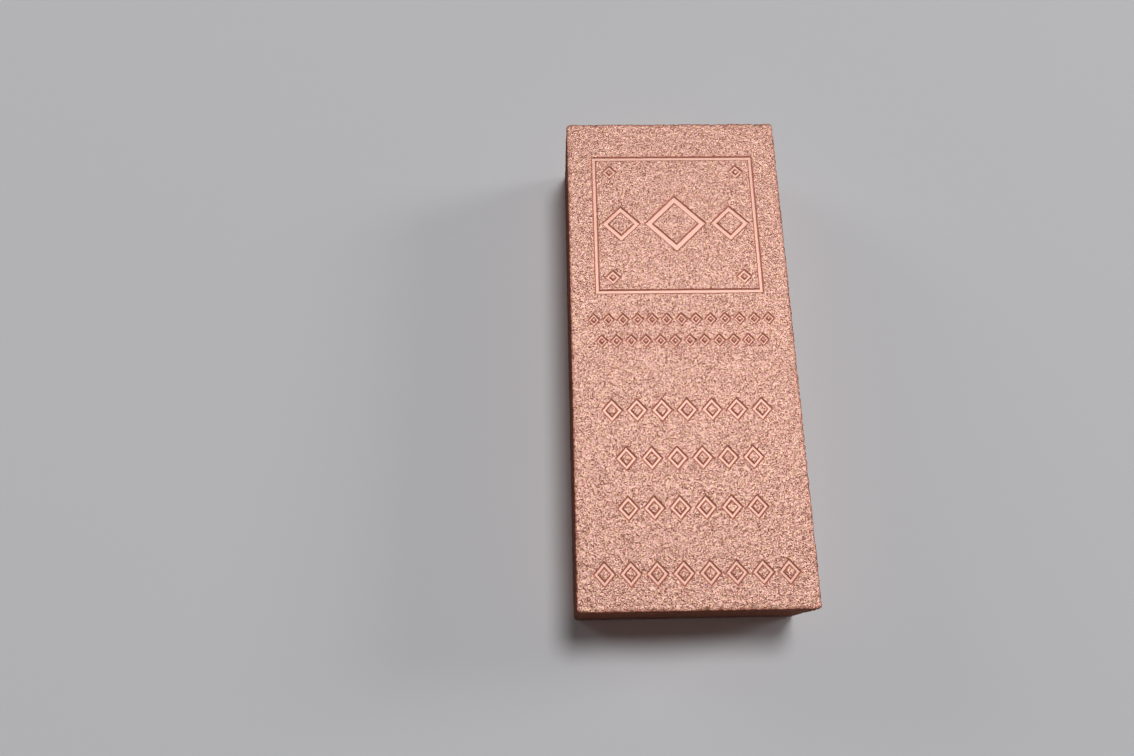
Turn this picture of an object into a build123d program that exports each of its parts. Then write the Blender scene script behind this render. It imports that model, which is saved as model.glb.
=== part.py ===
"""Cast copper ingot of one kilogram: a single oblong block with its marks sunk into the upper face.

The origin is at the middle of the base. +Z is up, +Y points to the head, the end with the square panel,
and +X is to the right when the marks are read. All lengths are in millimetres and angles in degrees.
"""

import os

from build123d import *

# The block
bar_length = 108.3
bar_width = 47.3
bar_height = 22.0
upright_edge_radius = 0.9
rim_edge_radius = 0.6

# Every mark is a groove with a flat floor and walls that lean outwards
groove_depth = 0.45
wall_lean = 24.0

# Square panel at the head
panel_width = 36.2
panel_height = 33.5
panel_groove = 0.95
head_margin = 8.65  # head of the bar to the panel

# Lozenges in the panel: a large one between two smaller ones, and a small one in each corner
centre_size = 13.6
centre_groove = 1.3
side_size = 8.6
side_groove = 1.1
side_gap = 0.9  # between the points of neighbouring lozenges
corner_size = 3.4
corner_groove = 0.75
corner_inset = 3.9  # panel edge to the middle of a corner lozenge

# Two fine rows below the panel
fine_across = 2.6
fine_tall = 2.9
fine_groove = 0.6
fine_pitch = 3.1
fine_counts = (13, 12)  # downwards
fine_row_pitch = 4.8
fine_drop = 5.9  # panel to the middle of the first fine row

# Three bold rows, and a longer one near the foot
bold_across = 4.4
bold_tall = 5.0
bold_groove = 0.8
bold_pitch = 5.15
bold_counts = (6, 6, 7)  # upwards
bold_row_pitch = 10.1
bold_rise = 12.8  # foot row to the first bold row
foot_count = 8
foot_margin = 7.25  # foot of the bar to the middle of the foot row

# Places along the upper face, measured from its middle
panel_y = bar_length / 2 - head_margin - panel_height / 2
panel_foot_y = panel_y - panel_height / 2
foot_row_y = foot_margin - bar_length / 2


def groove(outline, width):
    """Tool that cuts a groove of this width just inside a closed outline, from its own plane downwards."""
    with BuildPart() as tool:
        with BuildSketch():
            add(outline)
            offset(outline, amount=-width, kind=Kind.INTERSECTION, mode=Mode.SUBTRACT)
        extrude(amount=-groove_depth)
        draft(tool.faces().filter_by(Axis.Z, reverse=True), Plane.XY, -wall_lean)
    return tool.part


def lozenge_groove(across, tall, width):
    """Tool that cuts the outline of one upright lozenge."""
    with BuildSketch() as lozenge:
        with BuildLine():
            Polyline((across / 2, 0), (0, tall / 2), (-across / 2, 0), (0, -tall / 2), close=True)
        make_face()
    return groove(lozenge.sketch, width)


with BuildSketch() as panel:
    Rectangle(panel_width, panel_height)

panel_tool = groove(panel.sketch, panel_groove)
centre_tool = lozenge_groove(centre_size, centre_size, centre_groove)
side_tool = lozenge_groove(side_size, side_size, side_groove)
corner_tool = lozenge_groove(corner_size, corner_size, corner_groove)
fine_tool = lozenge_groove(fine_across, fine_tall, fine_groove)
bold_tool = lozenge_groove(bold_across, bold_tall, bold_groove)
side_x = (centre_size + side_size) / 2 + side_gap

with BuildPart() as ingot:
    Box(bar_width, bar_length, bar_height, align=(Align.CENTER, Align.CENTER, Align.MIN))
    fillet(ingot.edges().filter_by(Axis.Z), upright_edge_radius)
    fillet(ingot.faces().filter_by(Axis.Z).edges(), rim_edge_radius)

    with Locations((0, panel_y, bar_height)):
        add(panel_tool, mode=Mode.SUBTRACT)
        add(centre_tool, mode=Mode.SUBTRACT)
        with Locations((-side_x, 0), (side_x, 0)):
            add(side_tool, mode=Mode.SUBTRACT)
        with GridLocations(panel_width - 2 * corner_inset, panel_height - 2 * corner_inset, 2, 2):
            add(corner_tool, mode=Mode.SUBTRACT)

    for step, count in enumerate(fine_counts):
        with Locations((0, panel_foot_y - fine_drop - step * fine_row_pitch, bar_height)):
            with GridLocations(fine_pitch, 0, count, 1):
                add(fine_tool, mode=Mode.SUBTRACT)

    for step, count in enumerate(bold_counts):
        with Locations((0, foot_row_y + bold_rise + step * bold_row_pitch, bar_height)):
            with GridLocations(bold_pitch, 0, count, 1):
                add(bold_tool, mode=Mode.SUBTRACT)

    with Locations((0, foot_row_y, bar_height)):
        with GridLocations(bold_pitch, 0, foot_count, 1):
            add(bold_tool, mode=Mode.SUBTRACT)

ingot.part.label = "ingot"

os.makedirs("parts", exist_ok=True)
export_step(ingot.part, "parts/ingot.step")
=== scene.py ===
"""Looks of the cast copper ingot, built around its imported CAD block.

One skin stands for the block. It follows the block's own outlines, sunk marks and rounded edges, and adds the
coarse grain of the cast surface. Lengths are in millimetres while the skin is made, and metres in Blender.
"""

import math

import bpy
import numpy as np
from mathutils import Matrix, Vector, kdtree, noise
from mathutils.geometry import delaunay_2d_cdt


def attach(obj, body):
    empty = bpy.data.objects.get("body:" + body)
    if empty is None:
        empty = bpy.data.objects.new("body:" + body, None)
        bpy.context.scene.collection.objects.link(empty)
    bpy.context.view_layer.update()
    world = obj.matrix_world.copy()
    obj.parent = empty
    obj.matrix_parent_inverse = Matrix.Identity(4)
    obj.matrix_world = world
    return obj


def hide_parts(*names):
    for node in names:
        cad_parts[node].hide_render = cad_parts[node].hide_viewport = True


MM = 0.001
NODE = "ingot"
SEED = 11

# Reading the block
LEVEL = 0.0005  # heights nearer than this are the same
SAME_MIDDLE = 0.01  # outlines whose middles are nearer than this belong together
WIDEST_WALL = 1.0  # a mark's floor is never further inside its mouth than this
STRAIGHT = 1e-4  # sine of the smallest turn that counts as a corner
FAR = 9.0  # how far from a mark a point is taken to be when it is near none, in widths of the mark's wall

# Mesh of the skin
TOP_SPACING = 0.345
CONTOUR_SPACING = 0.34
SIDE_SPACING = 0.44
SIDE_ROW_SPACING = 0.5
BASE_SPACING = 1.3
ROW_SPACING = 0.866  # between the rows of a lattice of even triangles, in lattice spacings
JITTER = 0.16  # largest shift of a lattice point along each axis, in lattice spacings
CLEARANCE = 0.62  # least distance from a lattice point to a fixed one, in lattice spacings
UPPER_RIM_STEPS = 2
LOWER_RIM_STEPS = 3
CORNER_STEPS = 5
SHOULDER = 0.18  # ring beside each groove that keeps its edge tight
DEPTH_SHARE = 0.8  # of a mark's depth; the cast skin fills its foot
MERGE = 1e-6  # points of a flat triangulation that are nearer than this are one

# Grain of the cast surface; its highest points touch the block's own surface
GRAIN_HEIGHT = 0.065  # half of the way from its lowest to its highest points
GRAIN_SIZE = 0.8
GRAIN_BEND = 0.35  # how far the noise is pulled sideways, in grain sizes
GRAIN_BEND_RATE = 0.8
BROAD_GRAIN = 1.25
FINE_GRAIN = 0.55
FINE_GRAIN_RATE = 2.1
FINE_GRAIN_PLACE = Vector((7.3, 1.9, 4.4))
FLOOR_GRAIN = 0.12  # share of the grain that is left on a groove's floor
BASE_GRAIN = 0.6
SIDE_GRAIN = 1.5
CALM_BELOW_RIM = 2.0  # the grain of the sides grows to its full height over this distance
WAVE_HEIGHT = 0.03
WAVE_SIZE = 9.0
WAVE_LIMIT = 0.6  # the noise of the waves is cut off beyond this
WOBBLE = 0.05  # largest sideways shift of the edges of the marks and of the rim
WOBBLE_SIZE = 0.9
FLOOR_WOBBLE = 0.25  # share of the shift that is left on a groove's floor

# Upper rim
UPPER_RIM = 0.25  # radius, before grain and wear
RIM_WEAR = 0.38  # the deepest notches are about two thirds as deep as this
RIM_WEAR_SIZE = 0.65
RIM_WEAR_PLACE = Vector((3.1, 8.4, 5.5))
RIM_WEAR_REACH = 0.7  # how far from the block's edge the wear reaches

# Dark lips of the marks, and painted shade along the rim
RIM_SHADE_ROWS = (0.4, 1.0, 1.0, 0.4)  # share of the painted rim shade, row by row from the upper face down
LIP_REACH = 0.9  # how far outside a mark its dark lip reaches, in widths of the mark's wall

# Colours of the copper
PINK = (0.61, 0.362, 0.316, 1)
TAN = (0.61, 0.390, 0.290, 1)
# Painted shade: dark red-brown of the grains' creases and steep slopes
CREASE_SHADE = (0.25, 0.054, 0.024, 1)
WALL = (0.48, 0.13, 0.068, 1)  # darker red-brown lips and walls of the marks
RIM_SHADE = (0.12, 0.03, 0.016, 1)  # painted shade along the rim
BED = (0.575, 0.350, 0.285, 1)  # floors of the marks
GRAZED = (0.98, 0.78, 0.68, 1)  # tint of the upper face where it is seen along its surface
GRAZED_SIDE_SHADE = (0.07, 0.025, 0.015, 1)  # near-black tint of the sides and the dark lips where seen along them: painted shade

# Material. Where a value is a pair, it changes from the first to the second.
BLOB_SIZE = 0.53
BLOB_DISTORTION = 0.4
BLOB_SHARE = 1.1
FINE_SIZE = 0.32
FINE_DETAIL = 1.5
FINE_ROUGHNESS = 0.6
TINT_SIZE = 1.0
TINT_DETAIL = 2.0
TINT_NOISE = (0.38, 0.62)
BUMP_STRENGTH = (1.0, 0.12)  # open face to groove floor
BUMP_DISTANCE = (0.14 * MM, 0.16 * MM)  # upper face to sides
LOW_HEIGHT = (0.58, 0.42)  # bump heights over which the painted crease shade comes in
LOW_CREASE_SHADE = (0.0, 0.5)
STEEP_COSINE = (0.987, 0.93)  # cosines of the bump's tilt over which the painted shade of steep slopes comes in
STEEP_CREASE_SHADE = (0.0, 0.95)
SIDE_CREASE_SHADE = (1.0, 0.65)  # share of the painted crease shade, upper face to sides
# Painted shade: a little more of the crease colour on the sides
SIDE_SHADE = (0.0, 0.05)
ROUGHNESS = (0.45, 0.52)  # open face to groove floor
SIDE_GLOSS = (0.0, 0.13)  # taken off the roughness, upper face to sides
LIP_ROUGHNESS = 0.2  # added on a dark lip
LIP_COLOUR = 0.85  # share of the dark colour on a lip; along the rim it is painted shade
WHOLE = (0.0, 1.0)

# Over which part of the way from a level face (0) to an upright one (1) the material changes
FLANK_SIDE = (0.3, 1.0)  # bump, painted crease shade and roughness
# Painted shade of the sides comes in over this part
FLANK_SIDE_SHADE = (0.15, 0.9)
FLANK_GRAZING_SHADE = (0.2, 0.9)  # painted shade: tint where the surface is seen along it
FLANK_RIM_SHADE = (0.0, 0.2)  # colour of the dark lips, turning to the painted rim shade

# Floor and room
FLOOR_HALF = 2.6  # metres
FLOOR_COLOUR = (0.68, 0.68, 0.70, 1)
FLOOR_ROUGHNESS = 0.8
ROOM_COLOUR = (0.98, 0.98, 1.0, 1)
ROOM_BAND = (0.25, 0.93)  # heights over which the room gets darker, on a sphere of radius 1
ROOM_LEVEL = (0.74, 0.06)
ROOM_LIGHT = 0.08  # share of the room's level that lights matt surfaces

# Round lamps: level on the floor, width and distance in metres, elevation and heading in degrees
LAMPS = {
    "key": (0.495, 1.46, 5.0, 73, 25),
    "fill": (0.045, 1.4, 3.0, 20, 300),
    "side": (0.09, 0.8, 2.6, 24, 75),
    "front": (0.008, 1.2, 3.0, 14, 165),
}

# Camera, from the outlines of the bar in the photograph
CAMERA_PLACE = (-28.92, -65.84, 199.27)
CAMERA_LENS = 28.706
CAMERA_SENSOR = 36
CAMERA_NEAR = 0.01  # metres
CAMERA_TILT = 18.453
CAMERA_ROLL = 3.367
CAMERA_HEADING = -4.2536


def frame_points(node):
    """The node's vertices in millimetres, and the triangles between its welded points."""
    mesh = node.data
    points = np.empty(len(mesh.vertices) * 3)
    mesh.vertices.foreach_get("co", points)
    points = points.reshape(-1, 3) / MM
    rounded = np.round(points, 4)
    first, index = np.unique(rounded, axis=0, return_index=True, return_inverse=True)[1:]
    index = index.ravel()
    triangles = []
    for polygon in mesh.polygons:
        triangles.append([index[v] for v in polygon.vertices])
    return points[first], triangles


def flat_loops(points, triangles, height):
    """Closed outlines of the faces that lie flat at one height. Material is on the left of each."""
    ahead = {}
    for triangle in triangles:
        if all(abs(points[v][2] - height) < LEVEL for v in triangle):
            for a, b in zip(triangle, triangle[1:] + triangle[:1]):
                if ahead.get(b, {}).pop(a, None) is None:
                    ahead.setdefault(a, {})[b] = True
    loops = []
    while True:
        start = next((a for a in ahead if ahead[a]), None)
        if start is None:
            return loops
        loop = [start]
        here = ahead[start].popitem()[0]
        while here != start:
            loop.append(here)
            here = ahead[here].popitem()[0]
        loops.append(corners_only(points[loop][:, :2]))


def corners_only(loop):
    """The loop without the points that lie on a straight run."""
    before = loop - np.roll(loop, 1, axis=0)
    after = np.roll(loop, -1, axis=0) - loop
    turn = before[:, 0] * after[:, 1] - before[:, 1] * after[:, 0]
    size = np.linalg.norm(before, axis=1) * np.linalg.norm(after, axis=1)
    return loop[np.abs(turn) > STRAIGHT * size]


def loop_area(loop):
    """Area of a loop, negative where it runs clockwise."""
    x, y = loop[:, 0], loop[:, 1]
    return 0.5 * float(np.sum(x * np.roll(y, -1) - np.roll(x, -1) * y))


def outward_sides(loop):
    """Outward unit normal of each side of a convex loop, whichever way round it runs."""
    side = np.roll(loop, -1, axis=0) - loop
    side /= np.linalg.norm(side, axis=1)[:, None]
    normal = np.stack([side[:, 1], -side[:, 0]], axis=1)
    return normal if loop_area(loop) > 0 else -normal


def beyond(points, loop):
    """How far each point lies outside a convex loop; inside is negative. Corners count as mitred."""
    normal = outward_sides(loop)
    reach = np.sum(loop * normal, axis=1)
    return np.max(points @ normal.T - reach, axis=1)


def grown(loop, amount):
    """A convex loop with its sides moved outwards and its corners mitred."""
    normal = outward_sides(loop)
    earlier = np.roll(normal, 1, axis=0)
    bisector = (normal + earlier) / (1 + np.sum(normal * earlier, axis=1))[:, None]
    return loop + bisector * amount


def divided(loop, spacing):
    """The loop's corners with evenly spaced points between them."""
    points = []
    for a, b in zip(loop, np.roll(loop, -1, axis=0)):
        steps = max(1, round(float(np.linalg.norm(b - a)) / spacing))
        for step in range(steps):
            points.append(a + (b - a) * step / steps)
    return np.array(points)


class Plan:
    """Points and fixed edges of a flat triangulation."""

    def __init__(self):
        self.points = []
        self.edges = []

    def add_loop(self, loop):
        """Adds a closed loop of points with the edges between them."""
        start = len(self.points)
        self.points.extend(loop)
        for step in range(len(loop)):
            self.edges.append((start + step, start + (step + 1) % len(loop)))

    def fill(self, half_x, half_y, spacing, keep, seed):
        """Adds a jittered lattice where keep says so and no fixed point is near."""
        dice = np.random.default_rng(seed)
        rows = int(half_y / spacing / ROW_SPACING) + 1
        columns = int(half_x / spacing) + 2
        lattice = []
        for row in range(-rows, rows + 1):
            shift = 0.5 * (row % 2)
            for column in range(-columns, columns + 1):
                lattice.append(((column + shift) * spacing, row * spacing * ROW_SPACING))
        lattice = np.array(lattice) + dice.uniform(-JITTER, JITTER, (len(lattice), 2)) * spacing
        lattice = lattice[keep(lattice)]
        near = kdtree.KDTree(len(self.points))
        for number, point in enumerate(self.points):
            near.insert((point[0], point[1], 0), number)
        near.balance()
        for x, y in lattice:
            if near.find((x, y, 0))[2] > CLEARANCE * spacing:
                self.points.append(np.array((x, y)))

    def triangles(self):
        """The triangulated points and faces. The points keep their order."""
        points = [Vector(point) for point in self.points]
        made = delaunay_2d_cdt(points, self.edges, [], 0, MERGE, False)
        return np.array(made[0]), [list(face) for face in made[2]]


def perimeter(half_x, half_y, radius):
    """Points of the block's outline, anticlockwise, with their outward directions."""
    places = []
    directions = []
    corners = [(1, -1, -90), (1, 1, 0), (-1, 1, 90), (-1, -1, 180)]
    for number, (sign_x, sign_y, start) in enumerate(corners):
        centre = np.array([sign_x * (half_x - radius), sign_y * (half_y - radius)])
        for step in range(CORNER_STEPS + 1):
            angle = math.radians(start + 90 * step / CORNER_STEPS)
            direction = np.array([math.cos(angle), math.sin(angle)])
            places.append(centre + direction * radius)
            directions.append(direction)
        run = 2 * (half_y - radius) if number % 2 == 0 else 2 * (half_x - radius)
        if number % 2 == 1:
            along = np.array([-sign_x, 0.0])
        else:
            along = np.array([0.0, -sign_y])
        steps = round(run / SIDE_SPACING)
        for step in range(1, steps):
            places.append(places[-1] + along * run / steps)
            directions.append(direction)
    return np.array(places), np.array(directions)


def grain(point):
    """Height of the grain at a point, from about -1 to 1."""
    here = Vector(point) / GRAIN_SIZE
    bent = here + GRAIN_BEND * noise.noise_vector(here * GRAIN_BEND_RATE)
    broad = noise.noise(bent)
    fine = noise.noise(bent * FINE_GRAIN_RATE + FINE_GRAIN_PLACE)
    return BROAD_GRAIN * broad + FINE_GRAIN * fine


class Groove:
    """One sunk mark: a ring between two nested loops, with the same ring on its floor."""

    def __init__(self, outer_mouth, inner_mouth, outer_floor, inner_floor):
        self.outer_mouth = outer_mouth
        self.inner_mouth = inner_mouth
        self.outer_floor = outer_floor
        self.inner_floor = inner_floor

    def inward(self, points):
        """How far in each point is, in widths of the wall: 0 at the mouth, 1 where the floor starts."""
        run = -beyond(self.outer_floor[:1], self.outer_mouth)[0]
        return np.minimum(-beyond(points, self.outer_mouth), beyond(points, self.inner_mouth)) / run


def nested(outer_loops, inner_loops):
    """Pairs each outer loop with the largest smaller loop that has the same middle."""
    pairs = []
    for outer in outer_loops:
        middle = (outer.min(axis=0) + outer.max(axis=0)) / 2
        inside = []
        for inner in inner_loops:
            shift = (inner.min(axis=0) + inner.max(axis=0)) / 2 - middle
            if np.linalg.norm(shift) < SAME_MIDDLE and abs(loop_area(inner)) < abs(loop_area(outer)):
                inside.append(inner)
        pairs.append((outer, max(inside, key=lambda loop: abs(loop_area(loop)))))
    return pairs


class Block:
    """Sizes and outlines of the CAD block, in millimetres."""

    def __init__(self, node):
        points, triangles = frame_points(node)
        self.half_x, self.half_y, self.top = points.max(axis=0)
        rims = flat_loops(points, triangles, self.top)
        rims.sort(key=lambda loop: -abs(loop_area(loop)))
        below = sorted(set(np.round(points[:, 2], 3)), reverse=True)[1:]
        flats = ((height, flat_loops(points, triangles, height)) for height in below)
        self.floor, floors = next((height, loops) for height, loops in flats if loops)
        self.rim = self.half_x - np.abs(rims[0][:, 0]).max()
        end_face = points[points[:, 1] > self.half_y - LEVEL]
        self.corner = self.half_x - np.abs(end_face[:, 0]).max()
        marks = rims[1:]
        mouths = nested([loop for loop in marks if loop_area(loop) < 0],
                        [loop for loop in marks if loop_area(loop) > 0])
        beds = nested([loop for loop in floors if loop_area(loop) > 0],
                      [loop for loop in floors if loop_area(loop) < 0])
        self.grooves = []
        for outer_mouth, inner_mouth in mouths:
            for outer_floor, inner_floor in beds:
                gap = outer_mouth.max(axis=0) - outer_floor.max(axis=0)
                shift = outer_mouth.mean(axis=0) - outer_floor.mean(axis=0)
                if np.all((gap > 0) & (gap < WIDEST_WALL)) and np.all(np.abs(shift) < SAME_MIDDLE):
                    self.grooves.append(Groove(outer_mouth, inner_mouth, outer_floor, inner_floor))

    def within(self, points, inset):
        """Which points lie inside the block's outline by more than the inset."""
        return np.all(np.abs(points) < np.array([self.half_x, self.half_y]) - inset, axis=1)

    def inward(self, points):
        """How far into a mark each point of the upper face is, in widths of the mark's wall."""
        widths = np.full(len(points), -FAR)
        for groove in self.grooves:
            low = groove.outer_mouth.min(axis=0) - SHOULDER
            high = groove.outer_mouth.max(axis=0) + SHOULDER
            near = np.flatnonzero(np.all((points > low) & (points < high), axis=1))
            if len(near):
                widths[near] = np.maximum(widths[near], groove.inward(points[near]))
        return widths

    def sunk(self, points):
        """Share of a mark's depth at each point of the upper face: 0 outside, 1 on a floor."""
        return np.clip(self.inward(points), 0, 1)


def upper_face(block, outline):
    """Places and faces of the marked face, each point's share of depth and of lip, and the sharp edges."""
    plan = Plan()
    plan.add_loop(outline)
    sharp = []
    for groove in block.grooves:
        plan.add_loop(divided(grown(groove.outer_mouth, SHOULDER), CONTOUR_SPACING))
        plan.add_loop(divided(groove.outer_mouth, CONTOUR_SPACING))
        start = len(plan.edges)
        plan.add_loop(divided(groove.outer_floor, CONTOUR_SPACING))
        plan.add_loop(divided(groove.inner_floor, CONTOUR_SPACING))
        sharp.extend(plan.edges[start:])
        plan.add_loop(divided(groove.inner_mouth, CONTOUR_SPACING))
        plan.add_loop(divided(grown(groove.inner_mouth, -SHOULDER), CONTOUR_SPACING))

    def keep(points):
        share = block.sunk(points)
        return block.within(points, UPPER_RIM) & ((share <= 0) | (share >= 1))

    plan.fill(block.half_x, block.half_y, TOP_SPACING, keep, SEED)
    places, faces = plan.triangles()
    inward = block.inward(places)
    share = np.clip(inward, 0, 1)
    lip = np.clip(np.minimum(1 + inward / LIP_REACH, 1 - inward), 0, 1)
    heights = block.top - (block.top - block.floor) * DEPTH_SHARE * share
    return np.column_stack([places, heights]), faces, share, lip, sharp


def lower_face(block, outline):
    """Places and faces of the face that the ingot stands on."""
    plan = Plan()
    plan.add_loop(outline)

    def keep(points):
        return block.within(points, block.rim)

    plan.fill(block.half_x, block.half_y, BASE_SPACING, keep, SEED + 1)
    places, faces = plan.triangles()
    return np.column_stack([places, np.zeros(len(places))]), [face[::-1] for face in faces]


def side_rows(block):
    """Inset, height and outward share of each row of the sides, from the upper rim down."""
    rows = []
    for step in range(1, UPPER_RIM_STEPS + 1):
        angle = math.pi / 2 * step / UPPER_RIM_STEPS
        out, up = math.sin(angle), math.cos(angle)
        rows.append((UPPER_RIM * (1 - out), block.top - UPPER_RIM * (1 - up), out))
    height = block.top - UPPER_RIM - block.rim
    steps = round(height / SIDE_ROW_SPACING)
    for step in range(1, steps):
        rows.append((0.0, block.top - UPPER_RIM - height * step / steps, 1.0))
    for step in range(LOWER_RIM_STEPS):
        angle = math.pi / 2 * (1 - step / LOWER_RIM_STEPS)
        out, up = math.sin(angle), math.cos(angle)
        rows.append((block.rim * (1 - out), block.rim * (1 - up), out))
    return rows


def skin_parts(block):
    """Places, faces, outward directions, shares of depth and of the dark lips and painted rim shade, and
    sharp edges of the bare skin.
    """
    outline, directions = perimeter(block.half_x, block.half_y, block.corner)
    around = len(outline)
    top_outline = outline - directions * UPPER_RIM
    top_places, top_faces, top_share, top_lip, sharp = upper_face(block, top_outline)
    base_places, base_faces = lower_face(block, outline - directions * block.rim)
    places = [top_places]
    normals = [np.tile((0.0, 0.0, 1.0), (len(top_places), 1))]
    rows = side_rows(block)
    for inset, height, out in rows:
        places.append(np.column_stack([outline - directions * inset, np.full(around, height)]))
        rise = math.sqrt(max(0.0, 1 - out * out)) * (1 if height > block.top / 2 else -1)
        normals.append(np.column_stack([directions * out, np.full(around, rise)]))
    places.append(base_places)
    normals.append(np.tile((0.0, 0.0, -1.0), (len(base_places), 1)))
    starts = [0] + [len(top_places) + around * number for number in range(len(rows) + 1)]
    faces = list(top_faces)
    for upper, lower in zip(starts, starts[1:]):
        for step in range(around):
            after = (step + 1) % around
            faces.append([upper + step, lower + step, lower + after, upper + after])
    base_start = starts[-1]
    faces.extend([[base_start + v for v in face] for face in base_faces])
    places = np.concatenate(places)
    share = np.concatenate([top_share, np.zeros(len(places) - len(top_places))])
    lip = np.zeros(len(places))
    lip[:len(top_lip)] = top_lip
    # Painted shade along the rim and the top of the sides
    lip[:around] = RIM_SHADE_ROWS[0]
    for number, dark_lip_and_rim_shade in enumerate(RIM_SHADE_ROWS[1:]):
        lip[starts[number + 1]:starts[number + 2]] = dark_lip_and_rim_shade
    return places, faces, np.concatenate(normals), share, lip, sharp


def wobble(places, share, block):
    """Sideways shift of each point of the upper face and rim, so that edges are not ruled lines."""
    shift = np.zeros_like(places)
    upper = places[:, 2] > block.top - UPPER_RIM - LEVEL
    on_top = np.flatnonzero(upper | (share > 0))
    for number in on_top:
        sway = noise.noise_vector(Vector(places[number]) / WOBBLE_SIZE)
        shift[number, :2] = sway[0], sway[1]
    return shift * (WOBBLE * (1 - (1 - FLOOR_WOBBLE) * share))[:, None]


def rim_wear(places, block):
    """How far each point near the upper rim is worn inwards and down."""
    edge = np.array([block.half_x, block.half_y]) - np.abs(places[:, :2])
    apart = np.hypot(edge.min(axis=1), block.top - places[:, 2])
    pull = np.clip(1 - edge / RIM_WEAR_REACH, 0, 1) * np.sign(places[:, :2])
    length = np.linalg.norm(pull, axis=1)
    worn = np.zeros_like(places)
    for number in np.flatnonzero((apart < RIM_WEAR_REACH) & (length > 0)):
        bite = noise.noise(Vector(places[number]) / RIM_WEAR_SIZE + RIM_WEAR_PLACE)
        depth = RIM_WEAR * max(0.0, bite) * (1 - apart[number] / RIM_WEAR_REACH)
        worn[number, :2] = -depth * pull[number] / length[number]
        worn[number, 2] = -depth
    return worn


def skin(block):
    """The grained skin as a Blender object."""
    places, faces, normals, share, lip, sharp = skin_parts(block)
    heights = np.array([grain(place) for place in places])
    waves = np.array([noise.noise(Vector(place) / WAVE_SIZE) for place in places])
    downward = np.clip(-normals[:, 2], 0, 1)
    sideways = 1 - np.abs(normals[:, 2])
    below = np.clip((block.top - places[:, 2]) / CALM_BELOW_RIM, 0, 1)
    amount = 1 - (1 - BASE_GRAIN) * downward + (SIDE_GRAIN - 1) * sideways * below
    amount *= 1 - (1 - FLOOR_GRAIN) * share
    depth = GRAIN_HEIGHT * amount * (1 - np.clip(heights, -1, 1))
    depth += WAVE_HEIGHT * (1 - downward) * (WAVE_LIMIT - np.clip(waves, -WAVE_LIMIT, WAVE_LIMIT))
    moved = places + wobble(places, share, block) + rim_wear(places, block)
    moved -= normals * depth[:, None]
    moved[:, 0] = np.clip(moved[:, 0], -block.half_x, block.half_x)
    moved[:, 1] = np.clip(moved[:, 1], -block.half_y, block.half_y)
    mesh = bpy.data.meshes.new("ingot_skin")
    mesh.from_pydata((moved * MM).tolist(), [], faces)
    mesh.validate()
    mesh.shade_smooth()
    sharp_pairs = {tuple(sorted(edge)) for edge in sharp}
    for edge in mesh.edges:
        if tuple(sorted(edge.vertices)) in sharp_pairs:
            edge.use_edge_sharp = True
    for name, values in (("flank", sideways), ("sunk", share), ("lip", lip)):
        mesh.attributes.new(name, "FLOAT", "POINT").data.foreach_set("value", values.astype(np.float32))
    piece = bpy.data.objects.new("ingot_skin", mesh)
    bpy.context.scene.collection.objects.link(piece)
    return piece


class Tree:
    """The nodes of a material or of the world, added and joined by short calls."""

    def __init__(self, owner):
        owner.use_nodes = True
        self.nodes = owner.node_tree.nodes
        self.links = owner.node_tree.links

    def add(self, kind, values=(), **settings):
        """Adds a node. Values go to its inputs by name or number; an output among them is linked."""
        node = self.nodes.new(kind)
        for name, value in settings.items():
            setattr(node, name, value)
        for name, value in dict(values).items():
            self.set(node.inputs[name], value)
        return node

    def set(self, socket, value):
        """Gives an input its value, or links it where the value is another node's output."""
        if isinstance(value, bpy.types.NodeSocket):
            self.links.new(value, socket)
        else:
            socket.default_value = value

    def share(self, name):
        """One of the skin's own values for each of its points."""
        return self.add("ShaderNodeAttribute", attribute_name=name).outputs["Fac"]

    def noise(self, place, size, detail, **values):
        """Noise whose features are about this many millimetres wide."""
        values.update({"Vector": place, "Scale": 1 / (size * MM), "Detail": detail})
        return self.add("ShaderNodeTexNoise", values).outputs["Fac"]

    def span(self, value, source, target, **settings):
        """The value moved from one range to another, and kept inside it."""
        values = {"Value": value, "From Min": source[0], "From Max": source[1],
                  "To Min": target[0], "To Max": target[1]}
        return self.add("ShaderNodeMapRange", values, **settings).outputs["Result"]

    def blend(self, share, first, second):
        """A colour between two others."""
        values = {"Factor": share, "A": first, "B": second}
        return self.add("ShaderNodeMix", values, data_type="RGBA").outputs["Result"]

    def maths(self, operation, first, second=0.0):
        """The result of one sum; an operation on one value ignores the second."""
        return self.add("ShaderNodeMath", {0: first, 1: second}, operation=operation).outputs[0]


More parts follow.
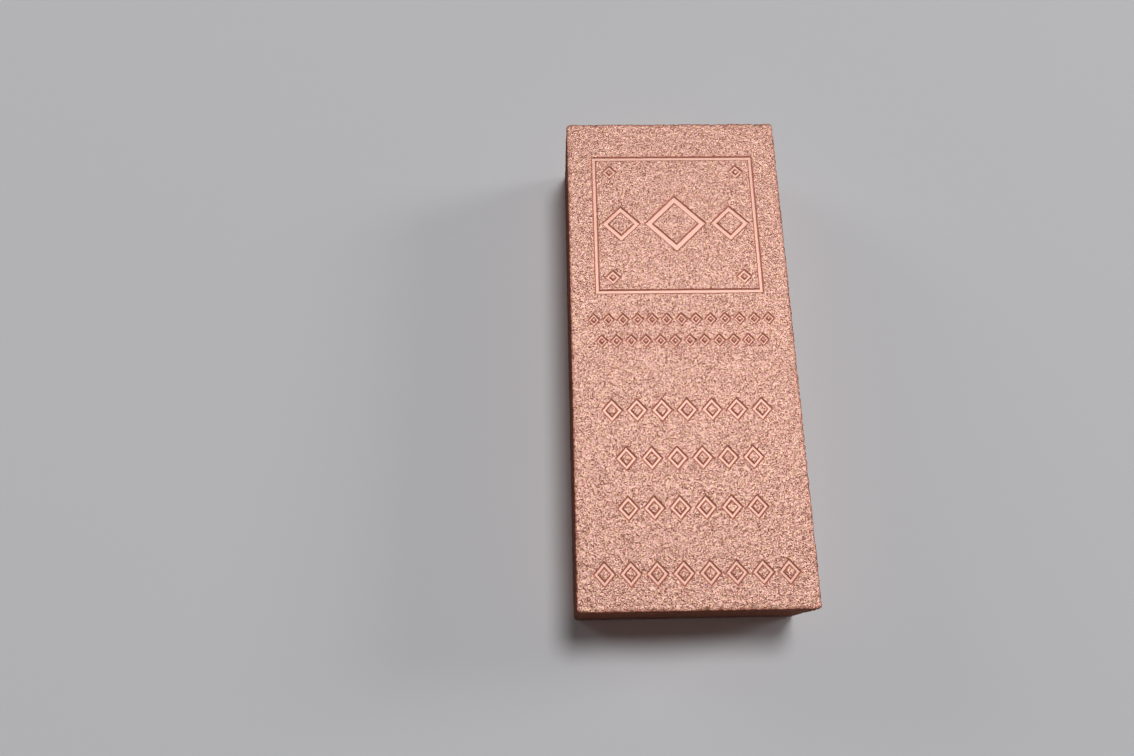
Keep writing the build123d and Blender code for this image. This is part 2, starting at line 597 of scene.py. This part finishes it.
def material():
    """Cast copper: rounded bright grains with painted red-brown shade in their creases, and smoother floors
    in the sunk marks.
    """
    made = bpy.data.materials.new("cast_copper")
    tree = Tree(made)
    surface = tree.nodes["Principled BSDF"].inputs
    surface["Metallic"].default_value = 1.0
    place = tree.add("ShaderNodeTexCoord").outputs["Object"]
    sunk, flank, lip = (tree.share(name) for name in ("sunk", "flank", "lip"))

    # Bump of the grains
    blobs = tree.noise(place, BLOB_SIZE, 0.0, Distortion=BLOB_DISTORTION)
    rounded = tree.maths("ABSOLUTE", tree.maths("SUBTRACT", blobs, 0.5))
    fine = tree.noise(place, FINE_SIZE, FINE_DETAIL, Roughness=FINE_ROUGHNESS)
    height = tree.maths("ADD", tree.maths("MULTIPLY", rounded, BLOB_SHARE), fine)
    bump = tree.add("ShaderNodeBump", {"Strength": tree.span(sunk, WHOLE, BUMP_STRENGTH),
                                       "Distance": tree.span(flank, FLANK_SIDE, BUMP_DISTANCE),
                                       "Height": height}).outputs["Normal"]
    tree.set(surface["Normal"], bump)

    # Colour: grains, painted shade in the creases where the bump is low or steep and a little more on the
    # sides, floors of the marks, dark lips of the marks, painted shade along the rim
    tint = tree.noise(place, TINT_SIZE, TINT_DETAIL)
    grains = tree.blend(tree.span(tint, TINT_NOISE, WHOLE), TAN, PINK)
    smooth = tree.add("ShaderNodeNewGeometry").outputs["Normal"]
    facing = tree.add("ShaderNodeVectorMath", {0: bump, 1: smooth}, operation="DOT_PRODUCT")
    # Painted shade: the crease colour comes in where the bump is low and where it is steep
    low = tree.span(height, LOW_HEIGHT, LOW_CREASE_SHADE)
    steep_shade = tree.span(facing.outputs["Value"], STEEP_COSINE, STEEP_CREASE_SHADE)
    crease_shade = tree.maths("MULTIPLY", tree.maths("ADD", low, steep_shade), tree.span(flank, FLANK_SIDE, SIDE_CREASE_SHADE))
    shaded_grains = tree.blend(crease_shade, grains, CREASE_SHADE)
    # Painted shade: the sides get a little more of the crease colour
    side_shaded = tree.blend(tree.span(flank, FLANK_SIDE_SHADE, SIDE_SHADE), shaded_grains, CREASE_SHADE)
    bedded = tree.blend(sunk, side_shaded, BED)
    # Dark red-brown lips of the marks; along the rim the dark colour is painted shade
    dark_lip_and_rim_shade = tree.blend(tree.span(flank, FLANK_RIM_SHADE, WHOLE), WALL, RIM_SHADE)
    tree.set(surface["Base Color"], tree.blend(tree.maths("MULTIPLY", lip, LIP_COLOUR), bedded, dark_lip_and_rim_shade))

    # Gloss, and a near-black tint that paints shade on the sides and lips where they are seen along them
    grazing_shade_share = tree.maths("MAXIMUM", tree.span(flank, FLANK_GRAZING_SHADE, WHOLE), lip)
    tree.set(surface["Specular Tint"], tree.blend(grazing_shade_share, GRAZED, GRAZED_SIDE_SHADE))
    cast = tree.maths("SUBTRACT", tree.span(sunk, WHOLE, ROUGHNESS), tree.span(flank, FLANK_SIDE, SIDE_GLOSS))
    lip_roughening = tree.maths("MULTIPLY", lip, LIP_ROUGHNESS)
    tree.set(surface["Roughness"], tree.maths("ADD", cast, lip_roughening))
    return made


def floor():
    """Plain pale floor under the ingot."""
    half = FLOOR_HALF
    mesh = bpy.data.meshes.new("floor")
    corners = [(-half, -half, 0), (half, -half, 0), (half, half, 0), (-half, half, 0)]
    mesh.from_pydata(corners, [], [(0, 1, 2, 3)])
    made = bpy.data.objects.new("floor", mesh)
    bpy.context.scene.collection.objects.link(made)
    coat = bpy.data.materials.new("floor")
    surface = Tree(coat).nodes["Principled BSDF"].inputs
    surface["Base Color"].default_value = FLOOR_COLOUR
    surface["Roughness"].default_value = FLOOR_ROUGHNESS
    mesh.materials.append(coat)


def room():
    """Plain surroundings, paler near the horizon. The floor gets little light from them."""
    world = bpy.data.worlds.new("room")
    bpy.context.scene.world = world
    tree = Tree(world)
    place = tree.add("ShaderNodeTexCoord").outputs["Generated"]
    height = tree.add("ShaderNodeSeparateXYZ", {0: place}).outputs["Z"]
    level = tree.span(height, ROOM_BAND, ROOM_LEVEL, interpolation_type="SMOOTHSTEP")
    path = tree.add("ShaderNodeLightPath").outputs
    seen = path["Is Camera Ray"]
    for name in ("Is Glossy Ray", "Is Transmission Ray"):
        seen = tree.maths("MAXIMUM", seen, path[name])
    share = tree.span(seen, WHOLE, (ROOM_LIGHT, 1.0))
    back = tree.nodes["Background"].inputs
    back["Color"].default_value = ROOM_COLOUR
    tree.set(back["Strength"], tree.maths("MULTIPLY", level, share))


def softbox(name, level, width, distance, elevation, heading):
    """A round lamp that lights a white floor to a level, where 1 is white."""
    lamp = bpy.data.lights.new(name, "AREA")
    lamp.shape = "DISK"
    lamp.size = width
    lamp.energy = level * math.pi * math.pi * distance**2 / math.sin(math.radians(elevation))
    made = bpy.data.objects.new(name, lamp)
    bpy.context.scene.collection.objects.link(made)
    rise, turn = math.radians(elevation), math.radians(heading)
    aim = Vector((math.cos(rise) * math.sin(turn), math.cos(rise) * math.cos(turn), math.sin(rise)))
    made.location = aim * distance
    made.rotation_euler = (-aim).to_track_quat("-Z", "Y").to_euler()


def lights():
    """The room and its soft lamps."""
    room()
    for name, settings in LAMPS.items():
        softbox(name, *settings)


def camera():
    """The photograph's camera."""
    lens = bpy.data.cameras.new("camera")
    lens.lens = CAMERA_LENS
    lens.sensor_width = CAMERA_SENSOR
    lens.clip_start = CAMERA_NEAR
    made = bpy.data.objects.new("camera", lens)
    bpy.context.scene.collection.objects.link(made)
    turn = Matrix.Rotation(math.radians(CAMERA_HEADING), 4, "Z")
    turn @= Matrix.Rotation(math.radians(CAMERA_TILT), 4, "X")
    turn @= Matrix.Rotation(math.radians(CAMERA_ROLL), 4, "Z")
    made.matrix_world = Matrix.Translation(Vector(CAMERA_PLACE) * MM) @ turn
    bpy.context.scene.camera = made


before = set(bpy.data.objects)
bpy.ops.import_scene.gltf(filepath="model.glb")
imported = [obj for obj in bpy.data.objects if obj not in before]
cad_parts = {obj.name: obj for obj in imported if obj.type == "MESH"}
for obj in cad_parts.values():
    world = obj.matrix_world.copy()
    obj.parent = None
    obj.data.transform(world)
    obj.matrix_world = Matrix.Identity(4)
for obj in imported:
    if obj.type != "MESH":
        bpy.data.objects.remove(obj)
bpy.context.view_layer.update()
block = Block(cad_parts[NODE])
noise.seed_set(SEED + 1)  # without it, noise_vector starts from the clock
piece = skin(block)
piece.data.materials.append(material())
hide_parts(NODE)
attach(piece, "root")
floor()
lights()
camera()
bpy.context.scene.view_settings.view_transform = "Standard"
